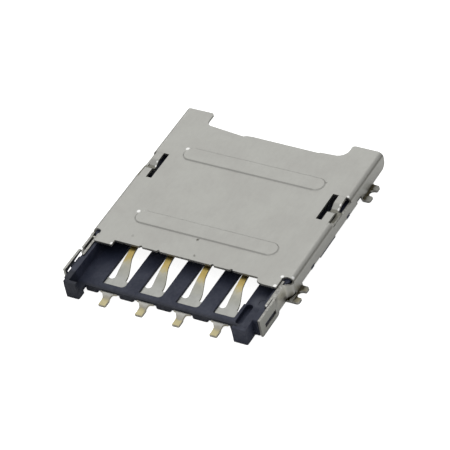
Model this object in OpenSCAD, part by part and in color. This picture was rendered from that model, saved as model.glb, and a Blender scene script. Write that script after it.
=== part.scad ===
// Push-in socket for a small subscriber identity card, 12 mm wide and 15 mm long.
// X runs across the socket, Y towards the card mouth and Z up from the board, in millimetres.
// Below, Y is counted from the front face of the card stop; each piece is then moved so that
// the origin is at the middle of the socket's footprint, on the board.

/* [Card] */
// Width of the card that goes in
card_w = 12; // [11.9:0.05:12.1]
// Play of the card between the bay walls
card_play = 0.1; // [0.06:0.02:0.14]
// Length of the card, from its leading edge to the edge at the mouth
card_l = 15; // [14.9:0.05:15.1]

/* [Contacts] */
// Distance between neighbouring contact columns
pitch = 2.54; // [2.5:0.02:2.58]
// Distance between the front and the rear contact row
row_gap = 7.62; // [7.54:0.02:7.7]
// Thickness of the contact strip
strip_t = 0.12; // [0.1:0.01:0.14]
// Width of the contact's base plate
base_w = 1.5; // [1.4:0.02:1.5]
// Width of the spring beam at its tip
tip_w = 0.4; // [0.34:0.02:0.46]
// Height of the spring beam's crown over the board
crown_z = 1.08; // [0.96:0.02:1.14]
// Width of the solder tail
tail_w = 0.46; // [0.4:0.02:0.5]

/* [Cover shell] */
// Thickness of the cover's sheet
sheet = 0.15; // [0.13:0.01:0.17]
// Width over the cover's side walls
shell_w = 13.8; // [13.7:0.05:13.9]
// Height of the cover's top face over the board
shell_top = 1.37; // [1.35:0.01:1.4]
// Outer radius of the bends along the top
bend_r = 0.35; // [0.3:0.01:0.38]
// Width of the finger notch at the card mouth
notch_w = 9.76; // [9.4:0.05:10]
// Greatest depth of the finger notch
notch_d = 1.33; // [1.2:0.01:1.4]
// Length of a stiffening rib
rib_l = 9.86; // [9.4:0.05:10.2]
// Width of a stiffening rib
rib_w = 1.18; // [1:0.02:1.3]
// Height of a stiffening rib over the top face
rib_h = 0.06; // [0.04:0.01:0.08]
// How far a solder foot reaches out from the side wall
foot_out = 0.43; // [0.38:0.01:0.5]

/* [Housing] */
// Height of the bay floor over the board
floor_z = 0.4; // [0.38:0.01:0.44]
// Clearance under the floor
stand_off = 0.2; // [0.18:0.01:0.22]
// Height of the left card stop over the board
stop_z = 1.2; // [1.1:0.01:1.22]
// Height of the open front rims over the board
rim_z = 1.1; // [1:0.01:1.16]

/* [Hidden] */
$fn = 48;

plastic = [0.11, 0.12, 0.19];
steel = [0.69, 0.69, 0.66];
nickel = [0.72, 0.71, 0.66];

// Contact columns, counted from the left as seen from the front
columns = [for (i = [-1.5:1.5]) i * pitch];

// Housing, from the front
tail_y = -0.08;
stop_t = 0.22;
left_rim_z = 1.18;
face_y = 0.87;
sill_y = 1.38;
mouth_y = card_l;
bay = (card_w + card_play) / 2;
window_w = 1.52;
window_l = 4.92;
rim_x = 6.4;
wall_y = 4.65;
barb_y = [6.5, 11.07];
barb_l = 0.38;
right_stop_x = 5.14;

// Cover shell
w = shell_w / 2;
under = shell_top - sheet;
wall_low = 0.28;
rear_y = 16.1;
plate_y = 3.58;
step_y = 4;
side_x = w - sheet - 0.05;
bevel = bend_r - sheet;
plate_x = 6.24;
wall_cut_y = 4.46;
// Middles of the two ribs, and how far they are sunk into the sheet to join it
rib_y = [6.34, 12.27];
root = 0.01;
// Outer edge of the side springs
spring_x = 6.6;

// Latch arms: front end, top edge, lower edges beside the wall and along the joggle
arm_y = 0.88;
arm_z = 1.25;
arm_low = 0.43;
joggle_low = 0.1;
// Inner face of the fingers, and their front tips
finger_x = 6.265;
right_tip_y = 2.12;
left_tip_y = 2.38;
// Middle of the arms' sheet beside the finger and along the front part
right_in = finger_x + 1.5 * sheet;
right_out = 6.545;
left_in = 6.67;
left_out = 6.76;
// Front edge of the front solder feet
foot_y = 3.93;

// Middle of the footprint along Y
mid_y = (rear_y + tail_y) / 2;

// Unit vector from a to b
function dir(a, b) = (b - a) / norm(b - a);
// Vector turned a quarter turn to the left
function left(d) = [-d[1], d[0]];
// Point i of a path, moved s to the left with a mitred corner
function mitre(p, i, s) =
    let (last = len(p) - 1,
        d0 = i > 0 ? dir(p[i - 1], p[i]) : dir(p[0], p[1]),
        d1 = i < last ? dir(p[i], p[i + 1]) : d0,
        m = left(d0) + left(d1))
    p[i] + s * 2 * m / (m * m);
// Outline of a strip of thickness t that follows a path
function ribbon(p, t) = concat(
    [for (i = [0:len(p) - 1]) mitre(p, i, t / 2)],
    [for (i = [len(p) - 1:-1:0]) mitre(p, i, -t / 2)]);
// Path with each inner corner rounded over the length c on both sides
function soften(p, c, n = 4) = concat([p[0]],
    [for (i = [1:len(p) - 2])
        let (ca = min(c, 0.45 * norm(p[i - 1] - p[i])),
            cb = min(c, 0.45 * norm(p[i + 1] - p[i])),
            a = p[i] + ca * dir(p[i], p[i - 1]),
            b = p[i] + cb * dir(p[i], p[i + 1]))
        for (k = [0:n])
            let (u = k / n)
            (1 - u) * (1 - u) * a + 2 * u * (1 - u) * p[i] + u * u * b],
    [p[len(p) - 1]]);

// Rectangle between two limits on each axis
module area(x0, x1, y0, y1) {
    translate([x0, y0]) square([x1 - x0, y1 - y0]);
}

// The same with four round corners
module round_area(x0, x1, y0, y1, r) {
    area(x0 + r, x1 - r, y0, y1);
    area(x0, x1, y0 + r, y1 - r);
    for (x = [x0 + r, x1 - r], y = [y0 + r, y1 - r]) translate([x, y]) circle(r);
}

// Plan outline made into a slab between two heights
module slab(z0, z1) {
    translate([0, 0, z0]) linear_extrude(z1 - z0) children();
}

// Outline drawn in Y and Z, carried along X
module across(x0, x1) {
    translate([x0, 0, 0]) rotate([90, 0, 90]) linear_extrude(x1 - x0) children();
}

// Outline drawn in X and Z, carried along Y
module along(y0, y1) {
    translate([0, y1, 0]) rotate([90, 0, 0]) linear_extrude(y1 - y0) children();
}

// The shape and its mirror image on the left side
module both_sides() {
    children();
    mirror([1, 0, 0]) children();
}

module placed() {
    translate([0, -mid_y, 0]) children();
}

// Housing

// Opening in the floor: left front corner sharp, the others round
module window(x, y0, l) {
    translate([x, y0]) {
        round_area(-window_w / 2, window_w / 2, 0, l, 0.25);
        area(-window_w / 2, 0, 0, 0.3);
    }
}

module floor_plate() {
    slab(stand_off, floor_z) area(-bay - 0.1, bay + 0.1, face_y, mouth_y);
    // Thicker corner round the blind slot
    slab(0.03, floor_z) area(4.62, bay, face_y, 2.9);
}

module side_walls() {
    both_sides() {
        // Wall, bevelled where the cover bends over it
        along(wall_y, mouth_y) polygon([[bay, stand_off], [side_x, stand_off], [side_x, under - bevel],
            [side_x - bevel, under], [bay, under]]);
        // Corner block in the cover's front corner, stepped in for the arm
        slab(stand_off, under - 0.04) polygon([[bay, 4.15], [6.49, 4.15], [6.66, 4.38], [6.66, wall_y + 0.1],
            [bay, wall_y + 0.1]]);
        // Ledge under the cover's lower edge, and two small barbs in nicks of that edge
        slab(stand_off, 0.36) area(side_x - 0.1, w - 0.05, 7.7, 9.6);
        for (y = barb_y) slab(0.3, 0.52) area(side_x - 0.1, w - 0.02, y, y + barb_l);
        // Pad that stands on the board at the mouth
        slab(0, stand_off + 0.1) area(5.9, side_x - 0.15, mouth_y - 0.8, mouth_y);
    }
}

module rim(front, top) {
    difference() {
        slab(stand_off, top) round_area(bay - 0.15, rim_x, front, wall_y + 0.3, 0.14);
        slab(stand_off - 1, top + 1) area(0, bay, 0, wall_y + 1);
        // Rounded upper front corner
        across(0, rim_x + 1) difference() {
            area(front - 0.1, front + 0.12, top - 0.12, top + 0.1);
            translate([front + 0.12, top - 0.12]) circle(0.12);
        }
    }
}

// Room in a rim for the finger beside the cover's front corner
module finger_room(tip_y) {
    slab(arm_low + 0.5, 2) {
        area(finger_x - 0.02, w, tip_y - 0.05, 4.12);
        area(finger_x - 0.02, finger_x + sheet + 0.02, 4.1, 4.4);
    }
}

module left_stop() {
    // Wall with a round outer corner
    along(0, stop_t) {
        round_area(-6.31, -5.46, 0, stop_z, 0.22);
        area(-6.31, -5.46, 0, stop_z - 0.3);
        area(-5.8, -5.46, 0, stop_z);
    }
    slab(0, floor_z) area(-6.31, -5.46, 0, 0.6);
    slab(stand_off, floor_z) area(-6.31, -5.46, 0, face_y + 0.1);
    slab(stand_off, left_rim_z) area(-6.34, -bay, 0.06, 0.5);
    // Outer strip of the rim in front of the arm's joggle
    slab(stand_off, left_rim_z) round_area(-6.45, -6.2, 0.3, 2.4, 0.1);
}

module right_stop() {
    along(0.02, 0.02 + stop_t) round_area(right_stop_x, 6.07, 0, stop_z - 0.1, 0.08);
    slab(0, floor_z) area(right_stop_x, 6.07, 0.02, 0.85);
    slab(stand_off, floor_z) area(right_stop_x, 6.07, 0.02, face_y + 0.1);
    slab(stand_off, rim_z) area(bay - 0.02, 6.07, 0.02, 1);
    // Foot under the front end of the rim
    slab(0, stand_off + 0.1) area(6, rim_x - 0.02, 0.95, 1.5);
    // Fillet between the stop and the front face
    slab(stand_off, floor_z) difference() {
        area(right_stop_x - 0.3, right_stop_x + 0.05, face_y - 0.3, face_y + 0.1);
        translate([right_stop_x - 0.3, face_y - 0.3]) circle(0.3);
    }
}

// Feet under the front edge, between the solder tails
module front_feet() {
    for (x = [[-5.44, -4.68], [-3.13, -2.2], [-0.58, 0.38], [1.91, 2.9], [4.45, right_stop_x + 0.05]])
        along(face_y, face_y + 0.45) polygon([[x[0], stand_off + 0.1], [x[0], 0.06], [x[0] + 0.06, 0],
            [x[1] - 0.06, 0], [x[1], 0.06], [x[1], stand_off + 0.1]]);
}

// Wedges on the rims that catch in the windows of the latch arms: a low one on the right, a tall one
// with a lower rail behind it on the left
module arm_wedges() {
    slab(0.32, 0.6) polygon([[rim_x - 0.1, 1.37], [rim_x, 1.37], [rim_x + 0.1, 1.5], [rim_x + 0.1, 2.58],
        [rim_x - 0.1, 2.58]]);
    mirror([1, 0, 0]) {
        slab(0.3, 0.94) polygon([[rim_x - 0.1, 1.3], [rim_x + 0.05, 1.3], [left_out, 1.52], [left_out, 1.95],
            [rim_x - 0.1, 1.95]]);
        slab(0.3, 1.05) area(rim_x - 0.1, left_in - 0.05, 1.9, 2.75);
    }
}

module floor_cuts() {
    slab(-1, floor_z + 0.01) for (x = columns) {
        difference() {
            window(x, sill_y, window_l);
            // The last one is a little narrower beside the blind slot
            area(4.48, 4.7, sill_y, 2.6);
        }
        window(x, sill_y + row_gap, window_l);
        // Opening round the rear tails
        window(x, face_y + row_gap - 1.6, 1.6);
    }
    // Seats of the contacts in the underside
    for (x = columns, r = [0, 1]) translate([x, r * row_gap, 0]) slab(-1, 0.18 + strip_t) base_outline();
    // Blind slot in the right front corner
    slab(0.08, 1) round_area(4.68, 5.14, 1.03, 2.66, 0.2);
    // Round ejector mark beside it
    translate([5.56, 2.98, floor_z - 0.03]) cylinder(h = 1, r = 0.28);
}

// Lead-in slopes at the card mouth
module mouth_cuts() {
    across(-bay, bay) polygon([[mouth_y - 0.35, floor_z], [mouth_y + 0.1, floor_z - 0.12],
        [mouth_y + 0.1, floor_z + 1], [mouth_y - 0.35, floor_z + 1]]);
    both_sides() slab(stand_off + 0.05, 2) polygon([[bay - 0.1, mouth_y - 0.7], [bay, mouth_y - 0.7],
        [bay + 0.3, mouth_y + 0.1], [bay - 0.1, mouth_y + 0.1]]);
}

module housing() {
    color(plastic) placed() difference() {
        union() {
            floor_plate();
            side_walls();
            rim(0.95, rim_z);
            mirror([1, 0, 0]) rim(0.3, left_rim_z);
            left_stop();
            right_stop();
            front_feet();
            arm_wedges();
        }
        floor_cuts();
        mouth_cuts();
        finger_room(right_tip_y);
        mirror([1, 0, 0]) finger_room(left_tip_y);
        // Room under the cover's side springs
        both_sides() slab(0.8, 2) area(bay - 0.1, w, 9.3, 12.05);
    }
}

// Cover shell

module channel_outline(half, top, r, bottom) {
    area(-half + r, half - r, bottom, top);
    area(-half, half, bottom, top - r);
    for (s = [-1, 1]) translate([s * (half - r), top - r]) circle(r);
}

// Low bead with sloping edges: straight middle and a cone at each end
module bead(y, wide, h, z) {
    slope = 0.1;
    end = (rib_l - rib_w) / 2;
    translate([0, y, z]) {
        across(-end, end) polygon([[-wide / 2, 0], [wide / 2, 0], [wide / 2 - slope, h],
            [-wide / 2 + slope, h]]);
        for (s = [-1, 1]) translate([s * end, 0, 0]) cylinder(h = h, r1 = wide / 2, r2 = wide / 2 - slope);
    }
}

// Plan of the front edge that is cut away between the two corners, with four small nicks
module front_step() {
    polygon([[-5.02, plate_y - 1], [-5.02, step_y], [4.81, step_y], [4.9, 3.72], [5.06, 3.63],
        [5.35, plate_y], [5.37, plate_y - 1]]);
    for (x = [-3.21, -2, 1.73, 3.01]) translate([x, step_y]) circle(0.1);
}

// Plan of the finger notch: filleted corners, rounded lips, and a bottom edge with two small dips
module finger_notch() {
    x = notch_w / 2;
    y = rear_y - notch_d;
    lip = 0.18;
    left_r = 0.42;
    right_r = 0.7;
    left_y = y + 0.22;
    right_y = y + 0.2;
    difference() {
        union() {
            polygon([[-x + left_r, left_y], [-2.2, y], [-2.05, y], [-1.9, y + 0.09], [-1.5, y + 0.13],
                [3.1, y + 0.08], [3.25, y + 0.15], [x - right_r, right_y], [x - right_r, rear_y + 1],
                [-x + left_r, rear_y + 1]]);
            area(-x, 0, left_y + left_r, rear_y + 1);
            area(0, x, right_y + right_r, rear_y + 1);
            translate([-x + left_r, left_y + left_r]) circle(left_r);
            translate([x - right_r, right_y + right_r]) circle(right_r);
            area(-x - lip, x + lip, rear_y - lip, rear_y + 1);
        }
        for (s = [-1, 1]) translate([s * (x + lip), rear_y - lip]) circle(lip);
    }
}

// Flat spring bridge between two slots, pressed down into a shallow valley
module side_spring() {
    top = shell_top - sheet / 2;
    dip = 0.24;
    across(6.1, spring_x) polygon(ribbon(soften([[9.3, top], [10.34, top], [10.56, top - dip],
        [10.76, top - dip], [11.2, top - 0.02], [12, top]], 0.1), sheet));
    // Lug that slopes down into the outer slot from its front end
    across(spring_x - 0.01, w - 0.04) polygon(ribbon([[9.4, 1.13], [9.6, 1.125], [10.7, 1.05]], sheet));
}

// Upright finger beside the plate's front corner
module finger(tip_y) {
    across(finger_x, finger_x + sheet + 0.005) round_area(tip_y, 4.36, arm_low + 0.52, arm_z, 0.07);
}

// Latch arm: the side wall carried on to the front, joggled in beside the finger and out again
module latch_arm(inner, outer, tip_y) {
    wall = w - sheet / 2;
    finger(tip_y);
    // Web between the finger and the arm
    slab(arm_low + 0.55, arm_z - 0.1) area(finger_x + 0.1, inner + 0.03, 3.98, 4.1);
    // The joggle's lower edge runs out into the solder foot
    slab(0, sheet) polygon([[inner - sheet / 2, foot_y], [w + 0.1, foot_y], [w + 0.1, foot_y + 0.4],
        [w - 0.1, foot_y + 0.4]]);
    intersection() {
        slab(0, 2) polygon(ribbon(soften([[wall, 4.8], [wall, 4.35], [inner, 3.95], [inner, 2.95],
            [outer, 2.7], [outer, arm_y]], 0.1), sheet));
        across(0, 10) difference() {
            union() {
                round_area(arm_y, 3, 0.04, 1, 0.06);
                area(arm_y, 4, 0.9, arm_z);
                polygon([[2.7, joggle_low], [3.95, joggle_low], [4.46, arm_low], [4.75, arm_low],
                    [4.75, 1.02], [4.4, 1.08], [4.2, 1.18], [3.95, arm_z], [2.7, arm_z]]);
            }
            for (i = [0:$children - 1]) children(i);
        }
    }
}

// Section of the wall's lower end bent outwards to a flat foot
module foot_section() {
    r = 0.07;
    out = r + sheet;
    area(w - sheet, w, out, 0.45);
    area(w + r, w + foot_out + 0.1, 0, sheet);
    difference() {
        translate([w + r, out]) circle(out);
        translate([w + r, out]) circle(r);
        area(w + r, w + 1, -1, 1);
        area(w - 1, w + 1, out, 1);
    }
}

// Solder foot with a round notch between its two prongs, free of the wall over its first part
module solder_foot(y0, y1, notch_x, notch_r, free) {
    reach = w + foot_out;
    mid = (y0 + y1) / 2;
    difference() {
        intersection() {
            along(y0, y1) foot_section();
            slab(-1, 1) difference() {
                round_area(w - 1, reach, y0, y1, 0.12);
                translate([notch_x, mid]) circle(notch_r);
                area(notch_x, reach + 1, mid - notch_r, mid + notch_r);
            }
        }
        slab(0.22, 1) area(w - 1, reach, y0 - 1, y0 + free);
    }
}

// Cuts in one side wall's lower edge
module lower_edge_cuts() {
    corner_r = 0.45;
    across(w - 1, w + 1) {
        area(5.33, 12.46, 0, 0.38);
        round_area(12.44, 13.02, 0, 0.59, 0.12);
        area(12.44, 13.02, 0, 0.3);
        for (y = barb_y) area(y - 0.02, y + barb_l + 0.02, 0, 0.54);
        // Rounded lower corner at the mouth
        difference() {
            area(rear_y - corner_r, rear_y + 1, 0, wall_low + corner_r);
            translate([rear_y - corner_r, wall_low + corner_r]) circle(corner_r);
        }
    }
}

module cover_shell() {
    color(steel) placed() {
        difference() {
            along(plate_y, rear_y) difference() {
                channel_outline(w, shell_top, bend_r, wall_low);
                channel_outline(w - sheet, under, bend_r - sheet, -1);
            }
            slab(under - 0.5, 2) {
                front_step();
                finger_notch();
            }
            both_sides() {
                // Front corner relief beside the finger, and the wall's front end
                slab(0, 2) polygon([[plate_x, 3], [w + 1, 3], [w + 1, wall_cut_y], [6.86, wall_cut_y + 0.1],
                    [6.45, wall_cut_y + 0.11], [6.3, wall_cut_y + 0.04], [plate_x, wall_cut_y - 0.06]]);
                // Slots on both sides of the side spring
                slab(under - 0.5, 2) area(5.72, 6.11, 9.58, 11.83);
                slab(1.2, 2) area(6.1, spring_x, 9.58, 11.8);
                slab(1.02, 2) area(spring_x - 0.01, w + 0.1, 9.5, 11.83);
                lower_edge_cuts();
            }
            // Hollow side of the ribs
            for (y = rib_y) bead(y, rib_w - 0.16, rib_h, under - 0.001);
        }
        for (y = rib_y) difference() {
            bead(y, rib_w, rib_h + root, shell_top - root);
            bead(y, rib_w - 0.16, rib_h, under);
        }
        both_sides() {
            side_spring();
            solder_foot(13.08, 14.5, 7.22, 0.28, 0);
            solder_foot(foot_y, 5.33, 7.19, 0.29, 0.6);
        }
        latch_arm(right_in, right_out, right_tip_y) round_area(1.35, 2.62, 0.3, 0.62, 0.04);
        mirror([1, 0, 0]) latch_arm(left_in, left_out, left_tip_y) {
            polygon([[1.08, 0.24], [2.82, 0.24], [2.82, 1.12], [1.08, 0.96]]);
            // Gap behind the free end of the window's top bar
            area(2.74, 2.96, 1.04, arm_z + 0.1);
        }
    }
}

// Contacts

// Plan of the base plate and the shouldered root of the tail, inside the housing's sill
module base_outline() {
    area(-base_w / 2, base_w / 2, 1.02, 2.1);
    area(-0.6, 0.55, face_y, 1.1);
}

// Plan of the whole contact: tail, base with two round notches, tapering beam
module contact_outline() {
    t = tail_w / 2;
    tip = tip_w / 2;
    polygon([[-t, tail_y], [t, tail_y], [t, 0.5], [0.27, 0.72], [0.36, 0.8], [0.55, 0.83], [0.55, 1.1],
        [-0.6, 1.1], [-0.6, 0.83], [-0.42, 0.8], [-0.36, 0.68], [-t, 0.48]]);
    difference() {
        area(-base_w / 2, base_w / 2, 1.02, 2.1);
        translate([-0.52, 2.16]) circle(0.23);
        area(-0.75, -0.29, 2.16, 3);
        translate([-0.75, 2.02]) square([0.2, 1]);
        translate([0.62, 2.1]) circle(0.15);
        translate([0.62, 2.02]) square([0.2, 1]);
    }
    polygon([[-0.29, 1.9], [0.47, 1.9], [0.47, 2.2], [0.43, 2.54], [0.33, 2.95], [tip + 0.02, 3.4],
        [tip, 3.8], [tip, 5.3], [tip - 0.07, 5.55], [-tip + 0.07, 5.55], [-tip, 5.3], [-tip, 3.5],
        [-0.26, 3.05], [-0.32, 2.6], [-0.31, 2.2]]);
}

// Side view of the strip: flat tail on the board, base in the floor, beam rising to its crown
module contact_profile() {
    half = strip_t / 2;
    base = 0.18 + half;
    crown = crown_z - half;
    polygon(ribbon(soften([[tail_y, half], [0.36, half], [0.72, base], [2.2, base], [2.62, base + 0.13],
        [3.35, crown - 0.24], [3.9, crown - 0.08], [4.9, crown], [5.2, crown - 0.02],
        [5.55, crown - 0.2]], 0.3), strip_t));
}

module contact(x, row) {
    placed() translate([x, row * row_gap, 0]) intersection() {
        across(-1, 1) contact_profile();
        slab(-1, 2) contact_outline();
    }
}

module contact_front_1() color(nickel) contact(columns[0], 0);
module contact_front_2() color(nickel) contact(columns[1], 0);
module contact_front_3() color(nickel) contact(columns[2], 0);
module contact_front_4() color(nickel) contact(columns[3], 0);
module contact_rear_1() color(nickel) contact(columns[0], 1);
module contact_rear_2() color(nickel) contact(columns[1], 1);
module contact_rear_3() color(nickel) contact(columns[2], 1);
module contact_rear_4() color(nickel) contact(columns[3], 1);

housing();
cover_shell();
contact_front_1();
contact_front_2();
contact_front_3();
contact_front_4();
contact_rear_1();
contact_rear_2();
contact_rear_3();
contact_rear_4();
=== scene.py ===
# Looks of a push-in card socket: a folded steel cover on a dark moulded frame, with eight sprung contacts
import math

import bmesh
import bpy
from mathutils import Matrix, Vector
from mathutils.bvhtree import BVHTree


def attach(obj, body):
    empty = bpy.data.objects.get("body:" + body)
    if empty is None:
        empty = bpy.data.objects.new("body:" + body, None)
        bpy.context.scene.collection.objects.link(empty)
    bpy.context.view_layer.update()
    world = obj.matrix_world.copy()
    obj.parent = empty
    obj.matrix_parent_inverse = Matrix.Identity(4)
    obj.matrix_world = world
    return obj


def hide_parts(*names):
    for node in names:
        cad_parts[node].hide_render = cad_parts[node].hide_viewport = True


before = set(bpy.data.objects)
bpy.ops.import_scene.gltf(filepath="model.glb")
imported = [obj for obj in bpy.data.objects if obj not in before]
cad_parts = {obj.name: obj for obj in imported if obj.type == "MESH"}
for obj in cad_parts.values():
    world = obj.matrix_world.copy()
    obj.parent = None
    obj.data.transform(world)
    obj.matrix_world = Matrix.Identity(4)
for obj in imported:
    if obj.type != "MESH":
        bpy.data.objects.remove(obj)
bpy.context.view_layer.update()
mm = 0.001
midY = 8.01    # places are in mm, with y counted from the front face of the card stop; the origin lies here
print("frame loaded:", len(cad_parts), "nodes")


# helpers for materials

def newMaterial(name):
    material = bpy.data.materials.new(name)
    material.use_nodes = True
    tree = material.node_tree
    return material, tree, tree.nodes["Principled BSDF"]


def feed(tree, socket, value):    # a value is a socket, a number or a colour
    if isinstance(value, bpy.types.NodeSocket):
        tree.links.new(value, socket)
    elif isinstance(value, tuple) and len(value) == 3 and len(socket.default_value) == 4:
        socket.default_value = (*value, 1)
    else:
        socket.default_value = value


def calc(tree, operation, first, second=0.0):
    node = tree.nodes.new("ShaderNodeMath")
    node.operation = operation
    feed(tree, node.inputs[0], first)
    feed(tree, node.inputs[1], second)
    return node.outputs[0]


def product(tree, first, *others):
    whole = first
    for value in others:
        whole = calc(tree, "MULTIPLY", whole, value)
    return whole


def objectPoint(tree, stretch=(1, 1, 1), shift=(0, 0, 0)):    # object coordinates in mm, stretched and moved
    coords = tree.nodes.new("ShaderNodeTexCoord")
    mapping = tree.nodes.new("ShaderNodeMapping")
    mapping.inputs["Scale"].default_value = [part / mm for part in stretch]
    mapping.inputs["Location"].default_value = shift
    tree.links.new(coords.outputs["Object"], mapping.inputs["Vector"])
    return mapping.outputs["Vector"]


def pointFromStop(tree):    # the same, with y counted from the card stop
    return objectPoint(tree, shift=(0, midY, 0))


def axes(tree):    # x, y and z of the shaded point
    split = tree.nodes.new("ShaderNodeSeparateXYZ")
    tree.links.new(pointFromStop(tree), split.inputs[0])
    return split.outputs


def distanceTo(tree, place):    # from a place to the shaded point
    gap = tree.nodes.new("ShaderNodeVectorMath")
    gap.operation = "DISTANCE"
    tree.links.new(pointFromStop(tree), gap.inputs[0])
    gap.inputs[1].default_value = place
    return gap.outputs["Value"]


def cloud(tree, scale, detail=3.0, roughness=0.5, stretch=(1, 1, 1)):
    field = tree.nodes.new("ShaderNodeTexNoise")
    field.inputs["Scale"].default_value = scale
    field.inputs["Detail"].default_value = detail
    field.inputs["Roughness"].default_value = roughness
    tree.links.new(objectPoint(tree, stretch), field.inputs["Vector"])
    return field.outputs["Fac"]


def spread(tree, value, fromLow, fromHigh, low, high):    # a smooth step from one level to the other
    node = tree.nodes.new("ShaderNodeMapRange")
    node.interpolation_type = "SMOOTHSTEP"
    for socket, number in zip(node.inputs[1:5], (fromLow, fromHigh, low, high)):
        socket.default_value = number
    feed(tree, node.inputs[0], value)
    return node.outputs[0]


def blotch(tree, field, low, high):    # a cloud's middle, stretched to patches with fairly clear limits
    return spread(tree, field, 0.35, 0.65, low, high)


def drift(tree, field, low, high):    # a cloud's middle, stretched to a slow change
    return spread(tree, field, 0.3, 0.7, low, high)


def within(tree, value, low, high, soft):    # one between two limits, fading out beyond them
    rise = spread(tree, value, low - soft, low, 0, 1)
    fall = spread(tree, value, high, high + soft, 1, 0)
    return product(tree, rise, fall)


def rampColour(tree, value, stops):    # colours at places along the value
    low = stops[0][0]
    length = stops[-1][0] - low
    node = tree.nodes.new("ShaderNodeValToRGB")
    points = node.color_ramp.elements
    while len(points) < len(stops):
        points.new(0.5)    # its place is set below
    for point, (place, colour) in zip(points, stops):
        point.position = (place - low) / length
        point.color = (*colour, 1)
    share = calc(tree, "DIVIDE", calc(tree, "SUBTRACT", value, low), length)
    feed(tree, node.inputs[0], share)
    return node.outputs["Color"]


def blendColour(tree, factor, first, second):
    node = tree.nodes.new("ShaderNodeMix")
    node.data_type = "RGBA"
    feed(tree, node.inputs["Factor"], factor)
    feed(tree, node.inputs[6], first)    # its two colour inputs
    feed(tree, node.inputs[7], second)
    return node.outputs[2]


def scaleColour(tree, colour, factor):    # darker where the factor is below one
    node = tree.nodes.new("ShaderNodeVectorMath")
    node.operation = "SCALE"
    tree.links.new(colour, node.inputs[0])
    feed(tree, node.inputs["Scale"], factor)
    return node.outputs[0]


def roundAndBump(tree, shader, radius, height, depth):    # softened edges first, then the bumps
    soft = tree.nodes.new("ShaderNodeBevel")
    soft.samples = 6
    soft.inputs["Radius"].default_value = radius * mm
    bump = tree.nodes.new("ShaderNodeBump")
    bump.inputs["Distance"].default_value = depth * mm
    tree.links.new(height, bump.inputs["Height"])
    tree.links.new(soft.outputs["Normal"], bump.inputs["Normal"])
    tree.links.new(bump.outputs["Normal"], shader.inputs["Normal"])


# helpers for the finished copies of the CAD solids

def mergedCopy(nodeName):    # one closed mesh with its doubles merged
    reach = 0.0002 * mm    # far below the smallest form
    work = bmesh.new()
    work.from_mesh(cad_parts[nodeName].data)
    bmesh.ops.remove_doubles(work, verts=work.verts, dist=reach)
    return work


def markShearedFaces(work, sheet):    # a face with no opposite face one sheet away is a cut edge
    justInside = 0.001 * mm    # so that the ray misses the face it starts from
    deepest = 1.35 * sheet * mm    # with some room for the bends and the ribs
    tree = BVHTree.FromBMesh(work)
    for face in work.faces:
        start = face.calc_center_median() - face.normal * justInside
        depth = tree.ray_cast(start, -face.normal)[3]
        face.material_index = 1 if depth is None or depth > deepest else 0


def shadeCorners(mesh):    # each corner takes the area-weighted normal of its near-level neighbours
    limit = math.cos(math.radians(24))    # steeper edges stay sharp
    sliver = 1e-6 * mm * mm    # a smaller face has no normal worth using
    faces = mesh.polygons
    normals = [face.normal.copy() for face in faces]
    around = [[] for vertex in mesh.vertices]
    for face in faces:
        for vertex in face.vertices:
            around[vertex].append(face.index)
    corners = []
    for face in faces:
        own = normals[face.index]
        if face.area < sliver:
            touching = [other for vertex in face.vertices for other in around[vertex]]
            own = normals[max(touching, key=lambda index: faces[index].area)]
        for vertex in face.vertices:
            total = own * face.area
            for other in around[vertex]:
                if faces[other].area >= sliver and normals[other].dot(own) > limit:
                    total += normals[other] * faces[other].area
            corners.append(total.normalized() if total.length > 0 else own)
    mesh.shade_smooth()
    mesh.normals_split_custom_set(corners)


def makePiece(name, work, materials=()):
    mesh = bpy.data.meshes.new(name)
    work.to_mesh(mesh)
    work.free()
    for material in materials:
        mesh.materials.append(material)
    shadeCorners(mesh)
    piece = bpy.data.objects.new(name, mesh)
    bpy.context.collection.objects.link(piece)
    return piece


# the folded cover

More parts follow.
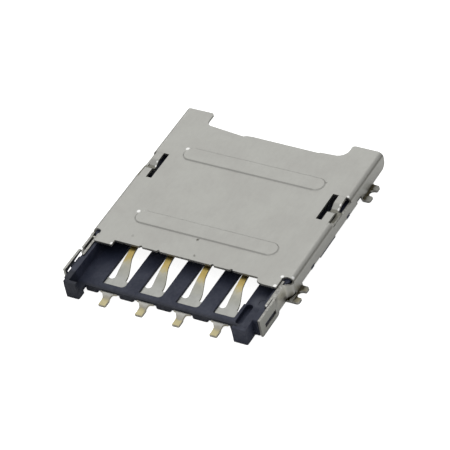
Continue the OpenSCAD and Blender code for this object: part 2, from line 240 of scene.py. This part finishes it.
cover = {
    "sheet": 0.15,    # mm thick
    "colour": (0.492, 0.492, 0.461),
    "darker": (0.468, 0.465, 0.437),
    "roughness": (0.34, 0.44),
    # clouds of the finish: cells per mm, detail, roughness, stretch in x, y and z; the depth is in mm
    "mottle": (0.55, 4, 0.6),
    "grain": (5, 3, 0.6, (1, 0.4, 1)),
    "rollMarks": (9, 3, 0.55, (1, 0.5, 1)),
    "rollDepth": 0.0006,
    "cornerRadius": 0.03,
    # the sheared edges: bright where the punch cut, dull where the metal broke away
    "edgeBright": (0.52, 0.515, 0.48),
    "edgeDull": (0.38, 0.375, 0.35),
    "edgeRoughness": (0.42, 0.62),
    "edgeStreaks": (9, 3, 0.6, (1, 1, 0.15)),
    "edgeDepth": 0.0025,
    # painted shade: a faint dark line where the bends run out into the walls, and how far out it shows
    "bendLineZ": 1.16,
    "bendLineWidth": (0.02, 0.085),
    "bendLineSide": (6.7, 6.8),
    "bendLineDepth": 0.4,
    # painted highlight on the joggle behind each latch arm
    "joggleSide": (6.45, 6.5),
    "joggleY": (3.05, 3.95),
    "joggleLead": 0.3,    # half the length of the fade at its front
    "joggleTail": (0.15, 0.5),    # where the steep and the long fade end behind it
    "joggleTailLevel": 0.22,    # how bright the long fade starts
    "joggleZ": (0.35, 0.75),
    "joggleFoot": 0.2,    # how bright the foot of the wall stays
    "joggleHighlightColour": (0.66, 0.65, 0.585),
    # painted shade on the outer faces of the arms, darker than the rest
    "armY": (2.3, 3.1),
    "armDepth": 0.95,
    "armShadeColour": (0.40, 0.405, 0.368),
    # painted shade in the sunk strip and the valley of each side spring: low, high, how far it fades
    "stripSide": (6.6, 6.83, 0.03),
    "stripY": (9.7, 10.8, 0.05),
    "valleySide": (5.8, 6.86, 0.05),
    "valleyY": (10.58, 10.76, 0.1),
    "hollowZ": (1.1, 1.22, 0.03),
    "hollowDepth": 0.7,
    "hollowShadeTint": (0.13, 0.125, 0.09),
    # painted shade in the bends of the solder feet, fading up the wall, outwards and along the foot
    "feetY": (4.55, 13.79),
    "shadeUp": (0.2, 0.36),
    "shadeOut": (6.98, 7.18),
    "shadeAlong": (0.65, 0.95),
    "shadeDepth": 0.97,
    "shadeCloud": (3.5, 3),
    "shadeRagged": 0.05,
    "paintedShadeTint": (0.058, 0.047, 0.022),
    # the painted shade reaches less far out on the foremost prongs, and the front feet have a warm bloom of
    # solder
    "prongY": (4.1, 4.4),
    "prongShift": 0.1,
    "bloomY": (4.9, 5.4),
    "bloomOut": (6.95, 7.1),
    "bloomColour": (0.50, 0.465, 0.345),
    # small dark marks on the top face, and painted shade at the right end of the far rib: x, y, radius in
    # mm, depth
    "specksAndRibShade": (
        (-0.20, 5.66, 0.12, 0.85),
        (0.30, 4.37, 0.095, 0.55),
        (-4.16, 4.71, 0.11, 0.25),
        # painted shade at the right end of the far rib
        (4.86, 12.56, 0.09, 0.5),
    ),
    "speckCloud": (9, 2),
    "speckRagged": 0.05,
    "speckAndShadeColour": (0.10, 0.095, 0.08),
    # painted highlights, glints at punched corners: x, y, z, radius in mm
    "glints": (
        (6.17, 4.52, 1.37, 0.13),
        (6.78, 4.70, 1.29, 0.13),
        (6.12, 3.70, 1.37, 0.14),
        (-5.07, 3.70, 1.37, 0.12),
        (-4.85, 12.64, 1.37, 0.155),
        (6.60, 11.14, 1.31, 0.13),
        (6.60, 10.87, 1.21, 0.14),
        (6.70, 11.92, 1.36, 0.10),
        (-4.92, 6.70, 1.37, 0.15),
        (6.38, 2.13, 1.22, 0.11),
        (-6.12, 10.80, 1.17, 0.10),
        (-6.16, 11.08, 1.27, 0.09),
    ),
    "glintColour": (1.0, 1.0, 0.98),
    "markCore": 0.5,    # the share of a speck's or a glint's radius that has its full strength
}


def darkSpecksAndRibShade(tree, colour, x, y):
    ragged = drift(tree, cloud(tree, *cover["speckCloud"]), -cover["speckRagged"], cover["speckRagged"])
    for markX, markY, radius, depth in cover["specksAndRibShade"]:
        across = calc(tree, "SUBTRACT", x, markX)
        along = calc(tree, "SUBTRACT", y, markY)
        squares = calc(tree, "ADD", product(tree, across, across), product(tree, along, along))
        away = calc(tree, "ADD", calc(tree, "SQRT", squares), ragged)
        mark = spread(tree, away, radius * cover["markCore"], radius, depth, 0)
        colour = blendColour(tree, mark, colour, cover["speckAndShadeColour"])
    return colour


# painted shade along the line where the bends run out into the walls
def bendLine(tree, colour, side, z):
    away = calc(tree, "ABSOLUTE", calc(tree, "SUBTRACT", z, cover["bendLineZ"]))
    line = spread(tree, away, *cover["bendLineWidth"], cover["bendLineDepth"], 0)
    outer = spread(tree, side, *cover["bendLineSide"], 0, 1)
    return blendColour(tree, product(tree, line, outer), colour, cover["paintedShadeTint"])


# painted shade on the outer faces of the arms, and a painted highlight on the joggle behind each of them
def armShadeAndJoggleHighlight(tree, colour, side, y, z):    # strongest on the slope, fainter behind it
    outer = spread(tree, side, *cover["joggleSide"], 0, 1)
    arm = spread(tree, y, *cover["armY"], cover["armDepth"], 0)
    colour = blendColour(tree, product(tree, outer, arm), colour, cover["armShadeColour"])
    front, rear = cover["joggleY"]
    lead = cover["joggleLead"]
    steepEnd, longEnd = cover["joggleTail"]
    start = spread(tree, y, front - lead, front + lead, 0, 1)
    steepFade = spread(tree, y, rear, rear + steepEnd, 1, cover["joggleTailLevel"])
    longFade = spread(tree, y, rear + steepEnd, rear + longEnd, 1, 0)
    high = spread(tree, z, *cover["joggleZ"], cover["joggleFoot"], 1)
    mark = product(tree, start, steepFade, longFade, outer, high)
    return blendColour(tree, mark, colour, cover["joggleHighlightColour"])


# painted shade in the hollows of the side springs
def shadeHollows(tree, colour, side, y, z):
    strip = product(tree, within(tree, side, *cover["stripSide"]), within(tree, y, *cover["stripY"]))
    valley = product(tree, within(tree, side, *cover["valleySide"]), within(tree, y, *cover["valleyY"]))
    either = calc(tree, "MAXIMUM", strip, valley)
    hollow = product(tree, either, within(tree, z, *cover["hollowZ"]), cover["hollowDepth"])
    return blendColour(tree, hollow, colour, cover["hollowShadeTint"])


def feetBloomAndShade(tree, colour, side, y, z):
    front = spread(tree, y, *cover["bloomY"], 1, 0)
    prongs = spread(tree, side, *cover["bloomOut"], 0, 1)
    colour = blendColour(tree, product(tree, front, prongs), colour, cover["bloomColour"])
    # painted shade in the concave bend of each foot
    ragged = drift(tree, cloud(tree, *cover["shadeCloud"]), -cover["shadeRagged"], cover["shadeRagged"])
    up = spread(tree, calc(tree, "ADD", z, ragged), *cover["shadeUp"], cover["shadeDepth"], 0)
    reach = calc(tree, "ADD", side, ragged)
    reach = calc(tree, "ADD", reach, spread(tree, y, *cover["prongY"], cover["prongShift"], 0))
    out = spread(tree, reach, *cover["shadeOut"], 1, 0)
    frontGap, rearGap = (calc(tree, "ABSOLUTE", calc(tree, "SUBTRACT", y, foot)) for foot in cover["feetY"])
    along = spread(tree, calc(tree, "MINIMUM", frontGap, rearGap), *cover["shadeAlong"], 1, 0)
    return blendColour(tree, product(tree, up, out, along), colour, cover["paintedShadeTint"])


def paintedGlints(tree, colour):    # painted highlights: glints at punched corners
    for *place, radius in cover["glints"]:
        near = spread(tree, distanceTo(tree, place), radius * cover["markCore"], radius, 1, 0)
        colour = blendColour(tree, near, colour, cover["glintColour"])
    return colour


def makeCoverSteel():
    material, tree, shader = newMaterial("satinCoverSheet")
    x, y, z = axes(tree)
    side = calc(tree, "ABSOLUTE", x)
    mottle = blotch(tree, cloud(tree, *cover["mottle"]), 0, 1)
    colour = blendColour(tree, mottle, cover["colour"], cover["darker"])
    colour = darkSpecksAndRibShade(tree, colour, x, y)
    colour = bendLine(tree, colour, side, z)
    colour = armShadeAndJoggleHighlight(tree, colour, side, y, z)
    colour = shadeHollows(tree, colour, side, y, z)
    colour = feetBloomAndShade(tree, colour, side, y, z)
    colour = paintedGlints(tree, colour)
    feed(tree, shader.inputs["Base Color"], colour)
    shader.inputs["Metallic"].default_value = 1
    grain = cloud(tree, *cover["grain"])
    feed(tree, shader.inputs["Roughness"], drift(tree, grain, *cover["roughness"]))
    roundAndBump(tree, shader, cover["cornerRadius"], cloud(tree, *cover["rollMarks"]), cover["rollDepth"])
    return material


def makeShearedEdge():    # the band that a punch leaves all round the sheet
    material, tree, shader = newMaterial("shearedSheetEdge")
    x, y, z = axes(tree)
    streaks = cloud(tree, *cover["edgeStreaks"])
    colour = blendColour(tree, blotch(tree, streaks, 0, 1), cover["edgeBright"], cover["edgeDull"])
    colour = shadeHollows(tree, colour, calc(tree, "ABSOLUTE", x), y, z)
    feed(tree, shader.inputs["Base Color"], paintedGlints(tree, colour))
    shader.inputs["Metallic"].default_value = 1
    feed(tree, shader.inputs["Roughness"], drift(tree, streaks, *cover["edgeRoughness"]))
    roundAndBump(tree, shader, cover["cornerRadius"], streaks, cover["edgeDepth"])
    return material


work = mergedCopy("cover_shell")
markShearedFaces(work, cover["sheet"])
foldedCover = makePiece("folded_cover", work, [makeCoverSteel(), makeShearedEdge()])
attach(foldedCover, "root")
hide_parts("cover_shell")
print("folded cover made:", len(foldedCover.data.polygons), "faces")


# the moulded frame

housing = {
    "colour": (0.023, 0.029, 0.056),
    "lighter": (0.047, 0.054, 0.086),
    "roughness": (0.44, 0.62),
    "sheen": 0.42,
    "cornerRadius": 0.035,
    # clouds of the finish: cells per mm, detail, roughness; the depth is in mm
    "flow": (0.8, 4, 0.55),
    "gloss": (5, 3),
    "mouldGrain": (11, 3, 0.6),
    "grainDepth": 0.004,
    # painted shade on the front bar, darker than the rest: how far back and how far right that reaches
    "barDepth": (0.9, 1.2),
    "barRight": (4.9, 5.3),
    "barStrength": 0.8,
    "barShadeColour": (0.010, 0.013, 0.024),
    # painted light: a lighter patch of the floor beside the right arm: x, y, z, radius in mm
    "paintedLightPatch": (5.40, 3.05, 0.4, 0.75),
    "paintedLightCore": 0.4,    # the share of the radius that has its full strength
    "paintedLightStrength": 0.9,
    "paintedLightColour": (0.11, 0.12, 0.155),
}


def makeHousingPlastic():
    material, tree, shader = newMaterial("mouldedFramePlastic")
    x, y = axes(tree)[:2]
    flow = blotch(tree, cloud(tree, *housing["flow"]), 0, 1)
    colour = blendColour(tree, flow, housing["colour"], housing["lighter"])
    # painted shade on the front bar
    front = spread(tree, y, *housing["barDepth"], housing["barStrength"], 0)
    left = spread(tree, x, *housing["barRight"], 1, 0)
    colour = blendColour(tree, product(tree, front, left), colour, housing["barShadeColour"])
    # painted light on the floor beside the right arm
    *place, radius = housing["paintedLightPatch"]
    away = distanceTo(tree, place)
    paintedLightPatch = spread(tree, away, radius * housing["paintedLightCore"], radius, housing["paintedLightStrength"], 0)
    colour = blendColour(tree, paintedLightPatch, colour, housing["paintedLightColour"])
    feed(tree, shader.inputs["Base Color"], colour)
    gloss = cloud(tree, *housing["gloss"])
    feed(tree, shader.inputs["Roughness"], drift(tree, gloss, *housing["roughness"]))
    shader.inputs["Specular IOR Level"].default_value = housing["sheen"]
    mouldGrain = cloud(tree, *housing["mouldGrain"])
    roundAndBump(tree, shader, housing["cornerRadius"], mouldGrain, housing["grainDepth"])
    return material


mouldedFrame = makePiece("moulded_frame", mergedCopy("housing"), [makeHousingPlastic()])
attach(mouldedFrame, "root")
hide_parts("housing")
print("moulded frame made:", len(mouldedFrame.data.polygons), "faces")


# the contacts: one finished strip, repeated on the socket's grid

contacts = {
    "strip": 0.12,    # mm thick
    "columns": 4,
    "rows": 2,
    "pitch": 2.54,
    "rowGap": 7.62,
    "rearLead": 0.6,    # what lies further back than the row gap less this is on the rear row
    # plating along the strip, with painted shade darkening the gold towards the tips under the cover's edge:
    # distance from the card stop in mm, colour
    "platingAndShade": (
        (-0.1, (0.63, 0.565, 0.33)),
        (0.32, (0.63, 0.565, 0.33)),
        (0.46, (0.50, 0.47, 0.39)),
        (0.70, (0.60, 0.59, 0.55)),
        (1.10, (0.50, 0.505, 0.475)),
        (2.20, (0.50, 0.505, 0.475)),
        (2.70, (0.60, 0.60, 0.53)),
        (3.00, (0.70, 0.68, 0.57)),
        (3.20, (0.73, 0.64, 0.37)),
        # from here on the gold darkens: painted shade under the cover's edge
        (3.42, (0.71, 0.55, 0.22)),
        (3.62, (0.65, 0.49, 0.17)),
        (3.85, (0.60, 0.45, 0.14)),
        (6.00, (0.60, 0.45, 0.14)),
    ),
    "roughness": (0.3, 0.42),
    "dull": 0.9,    # how bright the duller patches are
    "wander": 0.08,    # mm that the limits of the plating stray
    # clouds of the finish: cells per mm, detail, roughness, stretch in x, y and z; the depths are in mm
    "wanderCloud": (3, 2),
    "dullCloud": (1.6, 3),
    "grain": (8, 3, 0.6, (1, 0.2, 1)),
    "drawLines": (16, 2, 0.5, (1, 0.2, 1)),
    "drawDepth": 0.001,
    "cornerRadius": 0.045,
    # the punched sides, rougher than the faces
    "cutEdge": (0.74, 0.70, 0.58),
    "cutDark": 0.8,    # how bright its darker streaks are
    "cutRoughness": (0.6, 0.75),
    "cutStreaks": (14, 2, 0.5, (1, 0.3, 1)),
    "cutDepth": 0.002,
}


def makeContactMetal():
    material, tree, shader = newMaterial("platedContactStrip")
    y = axes(tree)[1]
    # a rear strip is coloured as the front strip before it
    rear = calc(tree, "GREATER_THAN", y, contacts["rowGap"] - contacts["rearLead"])
    along = calc(tree, "SUBTRACT", y, product(tree, rear, contacts["rowGap"]))
    wander = drift(tree, cloud(tree, *contacts["wanderCloud"]), -contacts["wander"], contacts["wander"])
    colour = rampColour(tree, calc(tree, "ADD", along, wander), contacts["platingAndShade"])
    dull = blotch(tree, cloud(tree, *contacts["dullCloud"]), 1, contacts["dull"])
    feed(tree, shader.inputs["Base Color"], scaleColour(tree, colour, dull))
    shader.inputs["Metallic"].default_value = 1
    grain = cloud(tree, *contacts["grain"])
    feed(tree, shader.inputs["Roughness"], drift(tree, grain, *contacts["roughness"]))
    drawLines = cloud(tree, *contacts["drawLines"])
    roundAndBump(tree, shader, contacts["cornerRadius"], drawLines, contacts["drawDepth"])
    return material


def makeContactEdge():
    material, tree, shader = newMaterial("punchedStripEdge")
    streaks = cloud(tree, *contacts["cutStreaks"])
    darker = tuple(contacts["cutDark"] * part for part in contacts["cutEdge"])
    feed(tree, shader.inputs["Base Color"], blendColour(tree, streaks, contacts["cutEdge"], darker))
    shader.inputs["Metallic"].default_value = 1
    feed(tree, shader.inputs["Roughness"], drift(tree, streaks, *contacts["cutRoughness"]))
    roundAndBump(tree, shader, contacts["cornerRadius"], streaks, contacts["cutDepth"])
    return material


def settle(piece):    # modifiers turned into plain mesh
    graph = bpy.context.evaluated_depsgraph_get()
    finished = piece.evaluated_get(graph)
    mesh = bpy.data.meshes.new_from_object(finished, preserve_all_data_layers=True, depsgraph=graph)
    piece.modifiers.clear()
    piece.data = mesh


def spreadContacts(strip, faceMetal, cutMetal):
    tree = bpy.data.node_groups.new("contactGrid", "GeometryNodeTree")
    face = tree.interface
    face.new_socket("Geometry", in_out="INPUT", socket_type="NodeSocketGeometry")
    inputs = {}
    for label, kind, value in (
        ("Columns", "NodeSocketInt", contacts["columns"]),
        ("Rows", "NodeSocketInt", contacts["rows"]),
        ("Pitch", "NodeSocketFloat", contacts["pitch"] * mm),
        ("Row Gap", "NodeSocketFloat", contacts["rowGap"] * mm),
    ):
        socket = face.new_socket(label, in_out="INPUT", socket_type=kind)
        socket.default_value = value
        inputs[socket.identifier] = value
    face.new_socket("Geometry", in_out="OUTPUT", socket_type="NodeSocketGeometry")
    inlet = tree.nodes.new("NodeGroupInput")
    outlet = tree.nodes.new("NodeGroupOutput")

    def line(countLabel, stepLabel, axis):
        points = tree.nodes.new("GeometryNodeMeshLine")
        step = tree.nodes.new("ShaderNodeCombineXYZ")
        tree.links.new(inlet.outputs[countLabel], points.inputs["Count"])
        tree.links.new(inlet.outputs[stepLabel], step.inputs[axis])
        tree.links.new(step.outputs[0], points.inputs["Offset"])
        return points.outputs["Mesh"]

    def scatter(points, instance):
        place = tree.nodes.new("GeometryNodeInstanceOnPoints")
        tree.links.new(points, place.inputs["Points"])
        tree.links.new(instance, place.inputs["Instance"])
        realize = tree.nodes.new("GeometryNodeRealizeInstances")
        tree.links.new(place.outputs["Instances"], realize.inputs["Geometry"])
        return realize.outputs["Geometry"]

    def coat(geometry, material, chosen=None):
        finish = tree.nodes.new("GeometryNodeSetMaterial")
        finish.inputs["Material"].default_value = material
        tree.links.new(geometry, finish.inputs["Geometry"])
        if chosen is not None:
            tree.links.new(chosen, finish.inputs["Selection"])
        return finish.outputs["Geometry"]

    # the marked faces are remembered before the strip is repeated, and take the cut edge's finish after it
    marked = tree.nodes.new("GeometryNodeCaptureAttribute")
    marked.domain = "FACE"
    marked.capture_items.new("INT", "Cut")
    markIndex = tree.nodes.new("GeometryNodeInputMaterialIndex")
    tree.links.new(inlet.outputs["Geometry"], marked.inputs["Geometry"])
    tree.links.new(markIndex.outputs[0], marked.inputs["Cut"])
    frontRow = scatter(line("Columns", "Pitch", "X"), marked.outputs["Geometry"])
    bothRows = scatter(line("Rows", "Row Gap", "Y"), frontRow)
    plated = coat(bothRows, faceMetal)
    finished = coat(plated, cutMetal, marked.outputs["Cut"])
    tree.links.new(finished, outlet.inputs["Geometry"])

    modifier = strip.modifiers.new("contactGrid", "NODES")
    modifier.node_group = tree
    for identifier, value in inputs.items():
        modifier[identifier] = value
    settle(strip)


work = mergedCopy("contact_front_1")
markShearedFaces(work, contacts["strip"])
sprungContacts = makePiece("sprung_contacts", work)
spreadContacts(sprungContacts, makeContactMetal(), makeContactEdge())
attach(sprungContacts, "root")
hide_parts(*[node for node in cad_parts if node.startswith("contact_")])
print("contacts made:", len(sprungContacts.data.polygons), "faces")


# floor, light and camera

studio = {
    "floorSize": 1.2,    # metres
    "floorDrop": 0.01,    # mm below the feet
    "floorColour": (0.86, 0.86, 0.86),
    "floorRoughness": 0.9,
    "floorGlow": 0.88,
    "floorGlossy": 0.08,
    # a painted contact shadow: the floor darkens only where something stands right beside it: reach in mm,
    # openness, samples
    "contactReach": 0.1,
    "contactFade": (0.5, 0.85),
    "contactSamples": 8,
    # a soft tent: brightness in front and behind, and where it changes
    "skyFront": 0.36,
    "skyBack": 0.96,
    "backFade": (-0.7, 0.5),
    "skyRight": 0.58,    # how much of that the right side keeps
    "rightFade": (-0.3, 0.65),
    "skyTop": 0.65,
    "topFade": (0.7, 0.95),
    "horizon": 0.2,    # how much is left along the horizon
    "lowFade": (0.08, 0.3),
    # name, azimuth and elevation in degrees, distance and size in metres, watts
    "lamps": (
        ("leftSoftbox", 220, 12, 0.20, 0.05, 0.012),
        ("rightSoftbox", 80, 35, 0.20, 0.05, 0.004),
        ("overheadFill", 180, 70, 0.25, 0.12, 0.03),
        ("frontFill", 350, 70, 0.25, 0.12, 0.02),
    ),
}

# the camera's place in mm and its turn, fitted to the photograph's straight edges
photoView = {
    "place": (80.1813, -94.9082, 115.6350),
    "right": (0.861041, 0.479434, -0.169564),
    "up": (-0.216888, 0.647804, 0.730281),
    "lens": 232.8,    # mm
    "sensor": 36,    # mm wide
    "nearest": 0.005,    # metres
    "farthest": 10,
}


def makeFloor():
    height = -studio["floorDrop"] * mm
    bpy.ops.mesh.primitive_plane_add(size=studio["floorSize"], location=(0, 0, height))
    floor = bpy.context.active_object
    floor.name = "studio_floor"
    material, tree, shader = newMaterial("paleFloor")
    # painted contact shadow from ambient occlusion
    nearby = tree.nodes.new("ShaderNodeAmbientOcclusion")
    nearby.samples = studio["contactSamples"]
    nearby.inputs["Distance"].default_value = studio["contactReach"] * mm
    openness = spread(tree, nearby.outputs["AO"], *studio["contactFade"], 0, 1)
    colour = blendColour(tree, openness, (0, 0, 0), studio["floorColour"])
    feed(tree, shader.inputs["Base Color"], colour)
    shader.inputs["Roughness"].default_value = studio["floorRoughness"]
    rays = tree.nodes.new("ShaderNodeLightPath")
    direct = product(tree, rays.outputs["Is Camera Ray"], studio["floorGlow"], openness)
    mirrored = product(tree, rays.outputs["Is Glossy Ray"], studio["floorGlossy"])
    shader.inputs["Emission Color"].default_value = (1, 1, 1, 1)
    feed(tree, shader.inputs["Emission Strength"], calc(tree, "ADD", direct, mirrored))
    floor.data.materials.append(material)


def makeSky():    # the object sees the tent, and the camera sees plain white
    world = bpy.data.worlds.new("softTent")
    bpy.context.scene.world = world
    world.use_nodes = True
    tree = world.node_tree
    background = tree.nodes["Background"]
    coords = tree.nodes.new("ShaderNodeTexCoord")
    split = tree.nodes.new("ShaderNodeSeparateXYZ")
    tree.links.new(coords.outputs["Generated"], split.inputs[0])
    x, y, z = split.outputs
    level = spread(tree, y, *studio["backFade"], studio["skyFront"], studio["skyBack"])
    level = product(tree, level, spread(tree, x, *studio["rightFade"], 1, studio["skyRight"]))
    mixed = tree.nodes.new("ShaderNodeMix")
    tree.links.new(spread(tree, z, *studio["topFade"], 0, 1), mixed.inputs["Factor"])
    tree.links.new(level, mixed.inputs[2])    # its two number inputs
    mixed.inputs[3].default_value = studio["skyTop"]
    tent = product(tree, mixed.outputs[0], spread(tree, z, *studio["lowFade"], studio["horizon"], 1))
    rays = tree.nodes.new("ShaderNodeLightPath")
    strength = calc(tree, "MAXIMUM", tent, rays.outputs["Is Camera Ray"])
    background.inputs["Color"].default_value = (1, 1, 1, 1)
    tree.links.new(strength, background.inputs["Strength"])


def makeLamps():    # all of them face the object
    for name, azimuth, elevation, distance, size, watts in studio["lamps"]:
        turn, lift = math.radians(azimuth), math.radians(elevation)
        level = math.cos(lift)
        data = bpy.data.lights.new(name, "AREA")
        data.size = size
        data.energy = watts
        outward = Vector((math.sin(turn) * level, -math.cos(turn) * level, math.sin(lift)))
        lamp = bpy.data.objects.new(name, data)
        lamp.location = distance * outward
        lamp.rotation_mode = "QUATERNION"
        lamp.rotation_quaternion = (-lamp.location).to_track_quat("-Z", "Y")
        bpy.context.collection.objects.link(lamp)


def makeCamera():
    data = bpy.data.cameras.new("photoView")
    data.sensor_width = photoView["sensor"]
    data.lens = photoView["lens"]
    data.clip_start = photoView["nearest"]
    data.clip_end = photoView["farthest"]
    right, up = Vector(photoView["right"]), Vector(photoView["up"])
    turn = Matrix((right, up, right.cross(up))).transposed().to_4x4()
    x, y, z = photoView["place"]
    camera = bpy.data.objects.new("photoView", data)
    camera.matrix_world = Matrix.Translation(Vector((x, y - midY, z)) * mm) @ turn
    bpy.context.collection.objects.link(camera)
    bpy.context.scene.camera = camera


makeFloor()
makeSky()
makeLamps()
makeCamera()
bpy.context.scene.view_settings.view_transform = "Standard"
print("floor, light and camera made")
